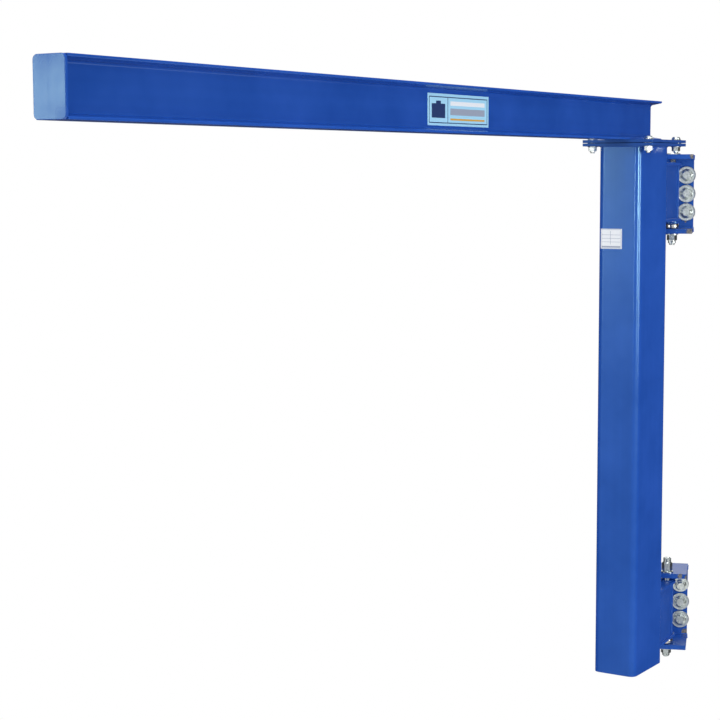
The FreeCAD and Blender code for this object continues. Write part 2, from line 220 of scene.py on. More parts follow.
lamps = [
    soft_lamp("left_softbox", (5.0, -6.2, 1.3), (2.0, -0.6, 1.2), 1.5, 1.4, 60.0),
    soft_lamp("right_softbox", (2.44, 4.17, 1.15), (0.5, 0.0, 1.1), 1.4, 1.3, 102.0),
    soft_lamp("narrow_strip", (5.45, -2.35, 1.2), (0.45, 0.0, 1.2), 0.14, 0.9, 34.0),
    soft_lamp("corner_strip", (4.14, 2.4, 1.2), (0.45, 0.0, 1.2), 0.22, 0.9, 92.0),
    soft_lamp("overhead_softbox", (2.6, -0.4, 4.2), (0.9, -0.2, 0.8), 2.2, 2.2, 80.0)]
strips = lamps[2:4]
for strip in strips:
    strip.visible_diffuse = False
print("lamps", [lamp.name for lamp in lamps])

# %% Lay the floor
FLOOR_LEVEL = cad_low.z - 2.1  # metres below the crane, which hangs on a wall
BACK, FRONT, LEFT, RIGHT = -3.0, 7.0, -5.0, 4.6
floor_mesh = bpy.data.meshes.new("studio_floor")
floor_mesh.from_pydata([(BACK, LEFT, FLOOR_LEVEL), (FRONT, LEFT, FLOOR_LEVEL),
                        (FRONT, RIGHT, FLOOR_LEVEL), (BACK, RIGHT, FLOOR_LEVEL)],
                       [], [(0, 1, 2, 3)])
floor = bpy.data.objects.new("studio_floor", floor_mesh)
scene.collection.objects.link(floor)
floor_paint, tree = new_material("matt_white_floor")
matt = add_node(tree, "ShaderNodeBsdfDiffuse", {}, {"Color": hex_to_linear("EDEEF0")})
glow = add_node(tree, "ShaderNodeEmission", {}, {"Color": (1, 1, 1, 1), "Strength": 1.0})
mix = add_node(tree, "ShaderNodeMixShader", {}, {
    "Fac": (sees_white(tree, 1.0), 0), 1: (matt, 0), 2: (glow, 0)})
add_node(tree, "ShaderNodeOutputMaterial", {}, {"Surface": (mix, 0)})
floor_mesh.materials.append(floor_paint)
floor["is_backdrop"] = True
print("floor at", round(FLOOR_LEVEL, 3))

# %% [markdown]
# ## Gloss blue enamel
# The steel is sprayed with a gloss alkyd enamel and left to level. That gives the eye a deep
# blue under a clear gloss whose soft reflections look cyan, because blue pigment tints what
# it scatters near the surface. The coat has a faint orange peel, clouds about a hand wide
# and, on the long drawn sections, streaks along their length.

# %% Knock chips out of it
def chipped(tree, spot, chips):
    """1 inside a ragged patch round each (place in mm, reach in mm), 0 elsewhere."""
    ragged = add_node(tree, "ShaderNodeTexNoise", {}, {
        "Vector": (spot, "Object"), "Scale": 240.0, "Detail": 4.0, "Roughness": 0.7})
    bare = None
    for place, reach in chips:
        away = add_node(tree, "ShaderNodeVectorMath", {"operation": "DISTANCE"}, {
            0: (spot, "Object"), 1: [n * MM for n in place]})
        near = add_node(tree, "ShaderNodeMath", {"operation": "MULTIPLY_ADD"}, {
            0: (ragged, "Fac"), 1: reach * MM * 1.8, 2: -reach * MM * 0.9})
        edge = add_node(tree, "ShaderNodeMath", {"operation": "ADD"}, {
            0: (away, "Value"), 1: (near, 0)})
        inside = add_node(tree, "ShaderNodeMapRange", {}, {
            "Value": (edge, 0), "From Min": reach * MM, "From Max": (reach - 0.8) * MM})
        bare = inside if bare is None else add_node(
            tree, "ShaderNodeMath", {"operation": "MAXIMUM"}, {0: (bare, 0), 1: (inside, 0)})
    return bare, ragged


print("chips show steel and rust")

# %% Mix the enamel
CYAN_SHEEN = (0.52, 0.95, 1.0, 1.0)


def gloss_enamel(name, deep, light, roughness, run=(1.0, 1.0, 80.0), chips=(), brushed=False):
    """Sprayed enamel: two close blues, streaks that run one way, orange peel and gloss.

    Where it was brushed on, the streaks also make the gloss uneven.
    """
    material, tree = new_material(name)
    spot = add_node(tree, "ShaderNodeTexCoord")
    clouds = add_node(tree, "ShaderNodeTexNoise", {}, {
        "Vector": (spot, "Object"), "Scale": 7.0, "Detail": 3.0, "Roughness": 0.6})
    drawn = add_node(tree, "ShaderNodeMapping", {"vector_type": "TEXTURE"}, {
        "Vector": (spot, "Object"), "Rotation": (0.0, 0.0, SWING), "Scale": run})
    streaks = add_node(tree, "ShaderNodeTexNoise", {}, {
        "Vector": (drawn, "Vector"), "Scale": 75.0, "Detail": 1.0})
    depth = add_node(tree, "ShaderNodeMapRange", {}, {
        "Value": (streaks, "Fac"), "To Min": -0.11, "To Max": 0.11})
    shade = add_node(tree, "ShaderNodeMath", {"operation": "ADD"}, {
        0: (clouds, "Fac"), 1: (depth, "Result")})
    colour = add_node(tree, "ShaderNodeValToRGB", {}, {"Fac": (shade, 0)},
                      [(0.30, deep), (0.72, light)])
    peel = add_node(tree, "ShaderNodeTexNoise", {}, {
        "Vector": (spot, "Object"), "Scale": 140.0, "Detail": 2.0})
    ripple = add_node(tree, "ShaderNodeBump", {}, {
        "Height": (peel, "Fac"), "Strength": 0.05, "Distance": 0.0003})
    dull = add_node(tree, "ShaderNodeMapRange", {}, {
        "Value": (shade, 0) if brushed else (clouds, "Fac"), "From Min": 0.3, "From Max": 0.7,
        "To Min": roughness - 0.04, "To Max": roughness + (0.14 if brushed else 0.05)})
    surface = [(colour, "Color"), (dull, "Result")]
    if chips:
        bare, ragged = chipped(tree, spot, chips)
        metal = add_node(tree, "ShaderNodeValToRGB", {}, {"Fac": (ragged, "Fac")},
                         [(0.42, "4E4946"), (0.55, "918A86"), (0.68, "7E5C45")])
        worn = add_node(tree, "ShaderNodeMix", {"data_type": "RGBA"}, {
            "Factor": (bare, 0), 6: (colour, "Color"), 7: (metal, "Color")})
        rough = add_node(tree, "ShaderNodeMath", {"operation": "MULTIPLY_ADD"}, {
            0: (bare, 0), 1: 0.4, 2: (dull, "Result")})
        surface = [(worn, 2), (rough, 0)]
    paint = add_node(tree, "ShaderNodeBsdfPrincipled", {}, {
        "Base Color": surface[0], "Roughness": surface[1], "Normal": (ripple, "Normal"),
        "IOR": 1.5, "Specular Tint": CYAN_SHEEN})
    add_node(tree, "ShaderNodeOutputMaterial", {}, {"Surface": (paint, 0)})
    return material


# Where the enamel is chipped: a corner's place and the chip's reach, in millimetres.
CHIPS = [((140.7, 54, 1251), 9), ((140.7, 52, 1047), 13), ((12.7, 33, 1071.1), 3),
         ((140.7, 36, 101.5), 7), ((140.7, 54, 98), 6), ((12.7, 48, -88), 10),
         ((140.7, -54, 1252), 6), ((140.7, -50, -101), 7), ((12.7, -52, 1150), 4)]
DEEP_BLUE, LIGHT_BLUE = "1A489E", "2150AC"
LENGTHWISE = (80.0, 1.0, 1.0)
blue_enamel = gloss_enamel("sprayed_blue_enamel", DEEP_BLUE, LIGHT_BLUE, 0.22)
beam_enamel = gloss_enamel("blue_enamel_on_rolled_beam", DEEP_BLUE, LIGHT_BLUE, 0.22,
                           LENGTHWISE)
brushed_enamel = gloss_enamel("brushed_on_blue_enamel", DEEP_BLUE, LIGHT_BLUE, 0.24, brushed=True)
# A darker, duller copy of the blue enamel: painted shade for the two joint plates, which sit in
# the shade under the boom.
shade_darkened_enamel = gloss_enamel("blue_enamel_darkened_for_shade", "143A84", "184292", 0.5)
worn_enamel = gloss_enamel("worn_blue_enamel", DEEP_BLUE, LIGHT_BLUE, 0.24, chips=CHIPS)
print(blue_enamel.name, beam_enamel.name, worn_enamel.name, "chips", len(CHIPS))

# %% [markdown]
# ## Bright zinc plate
# Bolts, nuts and washers are zinc plated and passivated clear. The plate is thin and bright,
# but parts that are plated in a barrel rub each other, so the shine is broken by small grey
# clouds about four millimetres wide.

# %% Plate the zinc
def zinc_plate(name, dark, middle, bright, roughness):
    """Barrel-plated zinc: a metal with small dull clouds and tumbling marks."""
    material, tree = new_material(name)
    spot = add_node(tree, "ShaderNodeTexCoord")
    clouds = add_node(tree, "ShaderNodeTexNoise", {}, {
        "Vector": (spot, "Object"), "Scale": 230.0, "Detail": 4.0, "Roughness": 0.65})
    grey = add_node(tree, "ShaderNodeValToRGB", {}, {"Fac": (clouds, "Fac")},
                    [(0.30, dark), (0.5, middle), (0.68, bright)])
    dull = add_node(tree, "ShaderNodeMapRange", {}, {
        "Value": (clouds, "Fac"), "From Min": 0.3, "From Max": 0.7,
        "To Min": roughness + 0.10, "To Max": roughness - 0.05})
    marks = add_node(tree, "ShaderNodeBump", {}, {
        "Height": (clouds, "Fac"), "Strength": 0.15, "Distance": 0.0003})
    metal = add_node(tree, "ShaderNodeBsdfPrincipled", {}, {
        "Base Color": (grey, "Color"), "Metallic": 1.0, "Roughness": (dull, "Result"),
        "Normal": (marks, "Normal")})
    add_node(tree, "ShaderNodeOutputMaterial", {}, {"Surface": (metal, 0)})
    return material


bright_zinc = zinc_plate("barrel_plated_zinc", "A8B0AD", "CBD2CF", "EAEEEB", 0.28)
bare_steel = zinc_plate("turned_bare_steel", "A39C92", "D2CEC6", "EFEDE8", 0.22)
print(bright_zinc.name, bare_steel.name)

# %% [markdown]
# ## Painted plates with softened edges
# Sawn and flame-cut plates never keep a sharp edge: a grinder and the paint round them by about
# a millimetre, and that thin band is what catches the light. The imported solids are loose
# triangles, so each copy is merged, its flat faces are joined, and a Bevel modifier rounds
# the edges before the copy takes the solid's place.

# %% Copy a solid with shared corners
SAME_CORNER = 2e-6
SAME_FACE = math.radians(0.4)
SAME_LEVEL = 1e-5


def merged_copy(node, trim=None):
    """The node's mesh with whole faces; trim is (level, shift) for one of its flat faces."""
    mesh = bpy.data.meshes.new("merged_" + node)
    shape = bmesh.new()
    shape.from_mesh(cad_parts[node].data)
    bmesh.ops.remove_doubles(shape, verts=shape.verts, dist=SAME_CORNER)
    bmesh.ops.dissolve_limit(shape, angle_limit=SAME_FACE, verts=shape.verts, edges=shape.edges)
    for corner in shape.verts:
        if trim and abs(corner.co.z - trim[0]) < SAME_LEVEL:
            corner.co.z += trim[1]
    shape.to_mesh(mesh)
    shape.free()
    return mesh


def settle(piece):
    """Apply what the modifiers make, so that the piece is a plain mesh."""
    bpy.context.view_layer.update()
    ready = piece.evaluated_get(bpy.context.evaluated_depsgraph_get())
    mesh = bpy.data.meshes.new_from_object(ready)
    piece.modifiers.clear()
    piece.data = mesh
    return piece


def finish_piece(piece, body, replaced=()):
    """Say what the piece rides on and hide the solids it stands for."""
    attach(piece, body)
    if replaced:
        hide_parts(*replaced)
    return piece


print("helpers for whole faces and plain meshes")


# %% Round the edges of a solid
def softened(node, body, radius, material, segments=3, trim=None):
    """A copy of the node with rounded edges, standing for it."""
    piece = bpy.data.objects.new("soft_" + node, merged_copy(node, trim))
    scene.collection.objects.link(piece)
    rounding = piece.modifiers.new("softened_edges", "BEVEL")
    rounding.width = radius
    rounding.segments = segments
    rounding.limit_method = "ANGLE"
    rounding.angle_limit = math.radians(35)
    piece.data.shade_smooth()
    flat = piece.modifiers.new("flat_faces", "WEIGHTED_NORMAL")
    flat.keep_sharp = True
    settle(piece)
    piece.data.materials.clear()
    piece.data.materials.append(material)
    return finish_piece(piece, body, [node])


BRACKET_PLATES = ["upper_wall_plate", "lower_wall_plate", "upper_top_ear", "upper_bottom_ear",
                  "lower_top_ear", "lower_bottom_ear"]
KNUCKLES = [f"{level}_knuckle_{face}" for level in ("upper", "lower")
            for face in ("near", "far", "top", "bottom")]
for plate in BRACKET_PLATES:
    softened(plate, "wall_brackets", 1.2 * MM, worn_enamel)
for plate in KNUCKLES + ["upper_sleeve", "lower_sleeve"]:
    softened(plate, "jib", 0.9 * MM, blue_enamel)
softened("boom_end_plate", "jib", 0.9 * MM, brushed_enamel)
mast = softened("mast_tube", "jib", 0.6 * MM, blue_enamel, 2)
softened("boom_beam", "jib", 0.6 * MM, beam_enamel, 2)
for washer in ("upper_pivot_washer", "lower_pivot_washers"):
    softened(washer, "wall_brackets", 0.7 * MM, bright_zinc)

# %% [markdown]
# ## Levelling gap
# The boom is levelled by thin shims round the bolts between its base plate and the mast's top
# plate. Each plate gives up seven tenths of a millimetre of its meeting face here, so the dark
# slot between them shows, and daylight shows through it at the corner nearest the eye.

# %% Open the slot between the two plates
JOINT_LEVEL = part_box("mast_top_plate")[1].z
GAP = 1.4 * MM
# Both plates take the darker enamel, which is painted shade for their place under the boom.
softened("mast_top_plate", "jib", 1.0 * MM, shade_darkened_enamel,
         trim=(JOINT_LEVEL, -GAP / 2))
softened("boom_base_plate", "jib", 1.0 * MM, shade_darkened_enamel,
         trim=(JOINT_LEVEL, GAP / 2))
print("slot at", round(JOINT_LEVEL / MM, 1), "mm,", GAP / MM, "mm high")

# %% [markdown]
# ## Turned shapes
# Heads, nuts, washers and shims are all stacks of rings: a circle where the lathe cut, a
# hexagon where the bar kept its flats. Each shape is made once, one unit wide, and repeated.

# %% Stack rings into a shape
SEGMENTS = 48


def circle(radius, level):
    """A round ring of points."""
    return [(radius * math.cos(2 * math.pi * n / SEGMENTS),
             radius * math.sin(2 * math.pi * n / SEGMENTS), level) for n in range(SEGMENTS)]


def hexagon(level, slope=0.0):
    """A hexagon one wide across its flats, whose corners drop away by the slope."""
    ring = []
    for n in range(SEGMENTS):
        angle = 2 * math.pi * n / SEGMENTS
        reach = 0.5 / math.cos((angle + math.pi / 6) % (math.pi / 3) - math.pi / 6)
        ring.append((reach * math.cos(angle), reach * math.sin(angle),
                     level - (reach - 0.47) * slope))
    return ring


def banded(shape, rings):
    """Faces between neighbouring rings, as one list for each band."""
    loops = [[shape.verts.new(point) for point in ring] for ring in rings]
    bands = []
    for low, high in zip(loops, loops[1:]):
        turns = [(n, (n + 1) % SEGMENTS) for n in range(SEGMENTS)]
        bands.append([shape.faces.new((low[a], low[b], high[b], high[a])) for a, b in turns])
    return loops, bands


def by_level(place):
    """A number that sorts places by level, then across, so that each run stores one order."""
    return place.z * 1e6 + place.y * 1e3 + place.x


def template(name, shape):
    """An object outside the scene that the node tree copies."""
    bmesh.ops.remove_doubles(shape, verts=shape.verts, dist=1e-6)
    bmesh.ops.recalc_face_normals(shape, faces=shape.faces)
    shape.verts.sort(key=lambda corner: by_level(corner.co))
    shape.faces.sort(key=lambda face: by_level(face.calc_center_median()))
    mesh = bpy.data.meshes.new(name)
    shape.to_mesh(mesh)
    shape.free()
    mesh.shade_smooth()
    mesh.set_sharp_from_angle(angle=math.radians(26))
    return bpy.data.objects.new(name, mesh)


print("rings of", SEGMENTS, "points")


# %% Turn the head, washer, nut and bolt end
def capped_shape(name, rings):
    """A closed shape: its first and last ring are filled."""
    shape = bmesh.new()
    loops, _ = banded(shape, rings)
    shape.faces.new(loops[0])
    shape.faces.new(loops[-1])
    return template(name, shape)


def bored_shape(name, rings):
    """A shape with a hole: its last ring runs back to its first."""
    shape = bmesh.new()
    banded(shape, rings + rings[:1])
    return template(name, shape)


head_shape = capped_shape("hex_head_shape", [
    circle(0.70, 0.0), circle(0.705, 0.05), circle(0.575, 0.40), hexagon(0.42),
    hexagon(0.82, 1.4), circle(0.465, 0.90), circle(0.43, 1.0)])
washer_shape = bored_shape("washer_shape", [
    circle(0.17, 0.0), circle(0.485, 0.0), circle(0.5, 0.25), circle(0.497, 0.7),
    circle(0.475, 1.0), circle(0.44, 0.93), circle(0.17, 0.93)])
nut_shape = bored_shape("hex_nut_shape", [
    circle(0.32, 0.0), circle(0.46, 0.0), hexagon(0.07, -0.5), hexagon(0.93, 0.5),
    circle(0.46, 1.0), circle(0.32, 1.0)])
end_shape = capped_shape("bolt_end_shape", [
    circle(0.5, 0.0), circle(0.5, 0.8), circle(0.40, 1.0)])
print("faces of a head", len(head_shape.data.polygons))

# %% [markdown]
# ## Castle nuts
# The hinge bolts are locked by slotted nuts, called castle nuts for their crown. A hexagon
# carries a narrower round crown, and a mill cuts three slots right across it. Here the crown's
# ring has 48 faces: five of every eight are pulled up, and the other three stay as a slot.

# %% Raise the crown
def castle_shape(name, shoulder):
    """A castle nut one wide and one high, whose hexagon ends at the shoulder."""
    shape = bmesh.new()
    loops, bands = banded(shape, [
        circle(0.33, 0.0), circle(0.46, 0.0), hexagon(0.05, -0.4), hexagon(shoulder - 0.05, 0.4),
        circle(0.44, shoulder), circle(0.425, shoulder + 0.02), circle(0.33, shoulder + 0.02)])
    banded(shape, [circle(0.33, shoulder + 0.02), circle(0.33, 0.0)])
    for tooth in range(6):
        faces = [bands[-1][tooth * 8 + n] for n in range(5)]
        raised = bmesh.ops.extrude_face_region(shape, geom=faces)
        bmesh.ops.delete(shape, geom=faces, context="FACES_ONLY")
        moved = [item for item in raised["geom"] if isinstance(item, bmesh.types.BMVert)]
        bmesh.ops.translate(shape, verts=moved, vec=(0, 0, 0.98 - shoulder))
    return template(name, shape)


castle_nut_shape = castle_shape("castle_nut_shape", 0.70)
print("faces of a castle nut", len(castle_nut_shape.data.polygons))

# %% [markdown]
# ## Fasteners at points
# Twelve wall bolts and four plate bolts repeat the same few shapes, so Geometry Nodes place
# one at each hole. The tree has named inputs for the width and height of the shape and for
# the axis it stands on, and a fixed seed turns each head as a spanner leaves it.

# %% Build the tree that repeats a shape at points
def node_group(name, given):
    """A geometry tree with named inputs; returns the tree and its input node."""
    tree = bpy.data.node_groups.new(name, "GeometryNodeTree")
    for label, kind in given:
        tree.interface.new_socket(label, in_out="INPUT", socket_type="NodeSocket" + kind)
    tree.interface.new_socket("Geometry", in_out="OUTPUT", socket_type="NodeSocketGeometry")
    return tree, add_node(tree, "NodeGroupInput")


def close_group(tree, given, shape):
    """End a tree in real geometry with its finish."""
    real = add_node(tree, "GeometryNodeRealizeInstances", {}, {"Geometry": (shape, 0)})
    coated = add_node(tree, "GeometryNodeSetMaterial", {}, {
        "Geometry": (real, 0), "Material": (given, "Finish")})
    add_node(tree, "NodeGroupOutput", {}, {0: (coated, 0)})
    return tree


FASTENERS, given = node_group("fasteners_at_points", [
    ("Points", "Geometry"), ("Shape", "Object"), ("Width", "Float"), ("Height", "Float"),
    ("Axis", "Vector"), ("Spin", "Float"), ("Seed", "Int"), ("Finish", "Material")])
shape = add_node(FASTENERS, "GeometryNodeObjectInfo", {}, {"Object": (given, "Shape")})
scale = add_node(FASTENERS, "ShaderNodeCombineXYZ", {}, {
    "X": (given, "Width"), "Y": (given, "Width"), "Z": (given, "Height")})
stand = add_node(FASTENERS, "FunctionNodeAlignRotationToVector", {"axis": "Z"}, {
    "Vector": (given, "Axis")})
chance = add_node(FASTENERS, "FunctionNodeRandomValue", {}, {"Seed": (given, "Seed")})
spin = add_node(FASTENERS, "ShaderNodeMath", {"operation": "MULTIPLY"}, {
    0: (chance, 1), 1: (given, "Spin")})
own_turn = add_node(FASTENERS, "FunctionNodeAxisAngleToRotation", {}, {
    "Axis": (0.0, 0.0, 1.0), "Angle": (spin, 0)})
turned = add_node(FASTENERS, "FunctionNodeRotateRotation", {"rotation_space": "LOCAL"}, {
    "Rotation": (stand, "Rotation"), "Rotate By": (own_turn, 0)})
placed = add_node(FASTENERS, "GeometryNodeInstanceOnPoints", {}, {
    "Points": (given, "Points"), "Instance": (shape, "Geometry"),
    "Rotation": (turned, "Rotation"), "Scale": (scale, "Vector")})
close_group(FASTENERS, given, placed)
print("inputs", [item.name for item in FASTENERS.interface.items_tree])


# %% Run a tree on a few points or lines
def grown(name, group, points, lines, values):
    """A plain mesh of what the tree makes from the points and lines."""
    mesh = bpy.data.meshes.new(name)
    mesh.from_pydata([Vector(point) for point in points], lines, [])
    piece = bpy.data.objects.new(name, mesh)
    scene.collection.objects.link(piece)
    modifier = piece.modifiers.new("growth", "NODES")
    modifier.node_group = group
    for item in group.interface.items_tree:
        if item.in_out == "INPUT" and item.name in values:
            modifier[item.identifier] = values[item.name]
    return settle(piece)


def repeated(name, points, shape, width, height, axis, spin=0.0, seed=1, finish=bright_zinc):
    """The shape at each point; width and height are in millimetres."""
    return grown(name, FASTENERS, points, [], {
        "Shape": shape, "Width": width * MM, "Height": height * MM, "Axis": axis,
        "Spin": spin, "Seed": seed, "Finish": finish})


def joined(name, parts):
    """Join finished meshes into one piece."""
    shape = bmesh.new()
    materials = []
    for part in parts:
        for material in part.data.materials:
            if material not in materials:
                materials.append(material)
        first = len(shape.faces)
        shape.from_mesh(part.data)
        shape.faces.ensure_lookup_table()
        for face in shape.faces[first:]:
            face.material_index = materials.index(part.data.materials[face.material_index])
    mesh = bpy.data.meshes.new(name)
    for material in materials:
        mesh.materials.append(material)
    shape.to_mesh(mesh)
    shape.free()
    for part in parts:
        bpy.data.objects.remove(part)
    piece = bpy.data.objects.new(name, mesh)
    scene.collection.objects.link(piece)
    return piece


print("ready to grow")

# %% [markdown]
# ## Wall bolts
# Six flanged hex bolts hold each bracket, through wide dished washers. One bolt of the lower
# bracket has worked loose and leans, as it does on the real crane.

# %% Put in the wall bolts
PLATE_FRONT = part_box("lower_wall_plate")[1].x
BRACKET_SPACING, HOLE_REACH, HOLE_PITCH = 1148.8, 34.5, 50.8
BRACKET_LEVELS = (0.0, BRACKET_SPACING * MM)
HOLES = [(across * HOLE_REACH * MM, level + row * HOLE_PITCH * MM)
         for level in BRACKET_LEVELS for across in (-1, 1) for row in (-1, 0, 1)]
LOOSE = HOLES[5]
tight = [hole for hole in HOLES if hole != LOOSE]
OUT = (1.0, 0.0, 0.0)
LEAN = (0.966, 0.10, -0.24)
FULL_TURN = 6.3  # radians, the most that a head or nut is turned by
parts = [
    repeated("washers", [(PLATE_FRONT, y, z) for y, z in tight], washer_shape, 49, 3.4, OUT),
    repeated("heads", [(PLATE_FRONT + 3.2 * MM, y, z) for y, z in tight], head_shape, 24, 11.5,
             OUT, FULL_TURN, 7),
    repeated("shanks", [(0.4 * MM, y, z) for y, z in HOLES], end_shape, 15.8, 14, OUT),
    repeated("loose_washer", [(PLATE_FRONT + 6.2 * MM, *LOOSE)], washer_shape, 46, 3.4, LEAN),
    repeated("loose_head", [(PLATE_FRONT + 9.2 * MM, LOOSE[0], LOOSE[1] - 0.8 * MM)],
             head_shape, 24, 11.5, LEAN, FULL_TURN, 4)]
wall_bolts = joined("wall_bolts", parts)
finish_piece(wall_bolts, "wall_brackets")
print("wall bolts", len(HOLES), "faces", len(wall_bolts.data.polygons))

# %% [markdown]
# ## Plate bolts
# Four bolts pull the boom's base plate down on the mast's top plate. Their heads are above,
# the nuts and a little thread hang below, and the shims of the levelling gap sit round them.

# %% Put in the four plate bolts
HINGE = Vector((118.7 * MM, 0.0, 0.0))
JIB = Matrix.Translation(HINGE) @ Matrix.Rotation(SWING, 4, "Z")


def jib_point(along, across, level):
    """A point of the swinging half, in millimetres from the hinge axis, as a place."""
    return JIB @ Vector((along * MM, across * MM, level * MM))


UP, DOWN = (0.0, 0.0, 1.0), (0.0, 0.0, -1.0)
PLATE_BOLTS = [(along, across) for along in (164, 340) for across in (-77, 77)]
PLATE_FOOT, PLATE_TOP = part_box("mast_top_plate")[0].z / MM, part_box("boom_base_plate")[1].z / MM
over = [jib_point(a, c, PLATE_TOP) for a, c in PLATE_BOLTS]
between = [jib_point(a, c, (JOINT_LEVEL - GAP / 2) / MM) for a, c in PLATE_BOLTS]
under = [jib_point(a, c, PLATE_FOOT) for a, c in PLATE_BOLTS]
parts = [
    repeated("heads", over, head_shape, 19, 8.5, UP, FULL_TURN, 3),
    repeated("shims", between, washer_shape, 26, GAP / MM, UP),
    repeated("washers", under, washer_shape, 26, 2.0, DOWN),
    repeated("nuts", under, nut_shape, 19, 12.5, DOWN, FULL_TURN, 5),
    repeated("ends", under, end_shape, 12.4, 17.5, DOWN)]
plate_bolts = joined("plate_bolts", parts)
finish_piece(plate_bolts, "jib")
print("plate bolts", len(PLATE_BOLTS), "faces", len(plate_bolts.data.polygons))

# %% [markdown]
# ## Threaded hinge bolts
# A thread is one ridge wound round a rod. Each point of a plain cylinder is drawn inwards by a
# saw-tooth that runs on by one pitch for every turn, which gives a true helix with no seam.
# The ridge is left out between the two threaded ends, where the shank is ground smooth.

# %% Build the tree that winds a thread
THREADS, given = node_group("threaded_rod", [
    ("Points", "Geometry"), ("Radius", "Float"), ("Length", "Float"), ("Pitch", "Float"),
    ("Depth", "Float"), ("Plain", "Float"), ("Foot", "Vector"), ("Finish", "Material")])
# Five rows of points for each turn of the thread.
rows = add_node(THREADS, "ShaderNodeMath", {"operation": "DIVIDE"}, {
    0: (given, "Length"), 1: (given, "Pitch")})
row_count = add_node(THREADS, "ShaderNodeMath", {"operation": "MULTIPLY"}, {0: (rows, 0), 1: 5.0})
rod = add_node(THREADS, "GeometryNodeMeshCylinder", {"fill_type": "NGON"}, {
    "Vertices": 24, "Side Segments": (row_count, 0), "Radius": (given, "Radius"),
    "Depth": (given, "Length")})
point = add_node(THREADS, "GeometryNodeInputPosition")
parts_of = add_node(THREADS, "ShaderNodeSeparateXYZ", {}, {"Vector": (point, 0)})
around = add_node(THREADS, "ShaderNodeMath", {"operation": "ARCTAN2"}, {
    0: (parts_of, "Y"), 1: (parts_of, "X")})
turns = add_node(THREADS, "ShaderNodeMath", {"operation": "DIVIDE"}, {
    0: (around, 0), 1: 2 * math.pi})
along = add_node(THREADS, "ShaderNodeMath", {"operation": "DIVIDE"}, {
    0: (parts_of, "Z"), 1: (given, "Pitch")})
phase = add_node(THREADS, "ShaderNodeMath", {"operation": "ADD"}, {0: (along, 0), 1: (turns, 0)})
tooth = add_node(THREADS, "ShaderNodeMath", {"operation": "PINGPONG"}, {0: (phase, 0), 1: 0.5})
out_from_middle = add_node(THREADS, "ShaderNodeMath", {"operation": "ABSOLUTE"}, {
    0: (parts_of, "Z")})
cut = add_node(THREADS, "ShaderNodeMath", {"operation": "GREATER_THAN"}, {
    0: (out_from_middle, 0), 1: (given, "Plain")})
groove = add_node(THREADS, "ShaderNodeMath", {"operation": "MULTIPLY"}, {
    0: (tooth, 0), 1: (cut, 0)})
share = add_node(THREADS, "ShaderNodeMath", {"operation": "DIVIDE"}, {
    0: (given, "Depth"), 1: (given, "Radius")})
drawn_in = add_node(THREADS, "ShaderNodeMath", {"operation": "MULTIPLY"}, {
    0: (groove, 0), 1: (share, 0)})
half = add_node(THREADS, "ShaderNodeMath", {"operation": "MULTIPLY"}, {
    0: (given, "Length"), 1: 0.5})
to_end = add_node(THREADS, "ShaderNodeMath", {"operation": "SUBTRACT"}, {
    0: (half, 0), 1: (out_from_middle, 0)})
# The last 1.8 mm narrow to a chamfered end.
chamfer = add_node(THREADS, "ShaderNodeMapRange", {}, {
    "Value": (to_end, 0), "From Min": 0.0, "From Max": 0.0018, "To Min": 0.82, "To Max": 1.0})
width_left = add_node(THREADS, "ShaderNodeMath", {"operation": "MULTIPLY_ADD"}, {
    0: (drawn_in, 0), 1: -2.0, 2: (chamfer, "Result")})
factor = add_node(THREADS, "ShaderNodeCombineXYZ", {}, {
    "X": (width_left, 0), "Y": (width_left, 0), "Z": 1.0})
wound = add_node(THREADS, "ShaderNodeVectorMath", {"operation": "MULTIPLY"}, {
    0: (point, 0), 1: (factor, 0)})
middle = add_node(THREADS, "ShaderNodeCombineXYZ", {}, {"Z": (half, 0)})
lifted = add_node(THREADS, "ShaderNodeVectorMath", {"operation": "ADD"}, {
    0: (given, "Foot"), 1: (middle, 0)})
moved = add_node(THREADS, "GeometryNodeSetPosition", {}, {
    "Geometry": (rod, "Mesh"), "Position": (wound, 0), "Offset": (lifted, 0)})
close_group(THREADS, given, moved)
print("inputs", [item.name for item in THREADS.interface.items_tree])


# %% Thread the bolts and screw on their nuts
ROD_RADIUS, THREAD_PITCH, THREAD_DEPTH = 7.9, 2.31, 0.7
CAP_SEAT, LOWER_SEAT = 1255.5, 109.7


def hinge_rod(name, foot, top, threaded):
    """A rod on the hinge axis from foot to top, with a thread this long at its ends."""
    return grown(name, THREADS, [], [], {
        "Radius": ROD_RADIUS * MM, "Length": (top - foot) * MM, "Pitch": THREAD_PITCH * MM,
        "Depth": THREAD_DEPTH * MM, "Plain": ((top - foot) / 2 - threaded) * MM,
        "Foot": HINGE + Vector((0, 0, foot * MM)), "Finish": bright_zinc})


def on_axis(level):
    """One place on the hinge axis, at a level in millimetres."""
    return [HINGE + Vector((0, 0, level * MM))]


upper_low, upper_high = (corner.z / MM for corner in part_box("upper_pivot_bolt"))
lower_low, lower_high = (corner.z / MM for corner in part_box("lower_pivot_bolt"))
upper_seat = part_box("upper_pivot_washer")[0].z / MM
upper_parts = [
    hinge_rod("upper_rod", upper_low, upper_high - 1.0, 30),
    repeated("upper_cap", on_axis(CAP_SEAT), capped_shape("cap_shape", [
        circle(0.5, 0.0), circle(0.5, 0.5), circle(0.45, 1.0)]), 41, 2.8, UP),
    repeated("upper_castle", on_axis(upper_seat), castle_nut_shape, 24, 23, DOWN)]
lower_parts = [
    hinge_rod("lower_stud", lower_low, lower_high - 1.0, 38),
    repeated("top_castle", on_axis(LOWER_SEAT), castle_nut_shape, 25, 37, UP, 1.2, 3),
    repeated("low_castle", on_axis(-LOWER_SEAT), castle_nut_shape, 24, 18, DOWN)]
finish_piece(joined("upper_hinge_bolt", upper_parts), "wall_brackets",
             ["upper_pivot_bolt", "upper_pivot_nut"])
finish_piece(joined("lower_hinge_stud", lower_parts), "wall_brackets",
             ["lower_pivot_bolt", "lower_pivot_nuts"])
print("bolt", round(upper_high - upper_low, 1), "stud", round(lower_high - lower_low, 1), "mm")

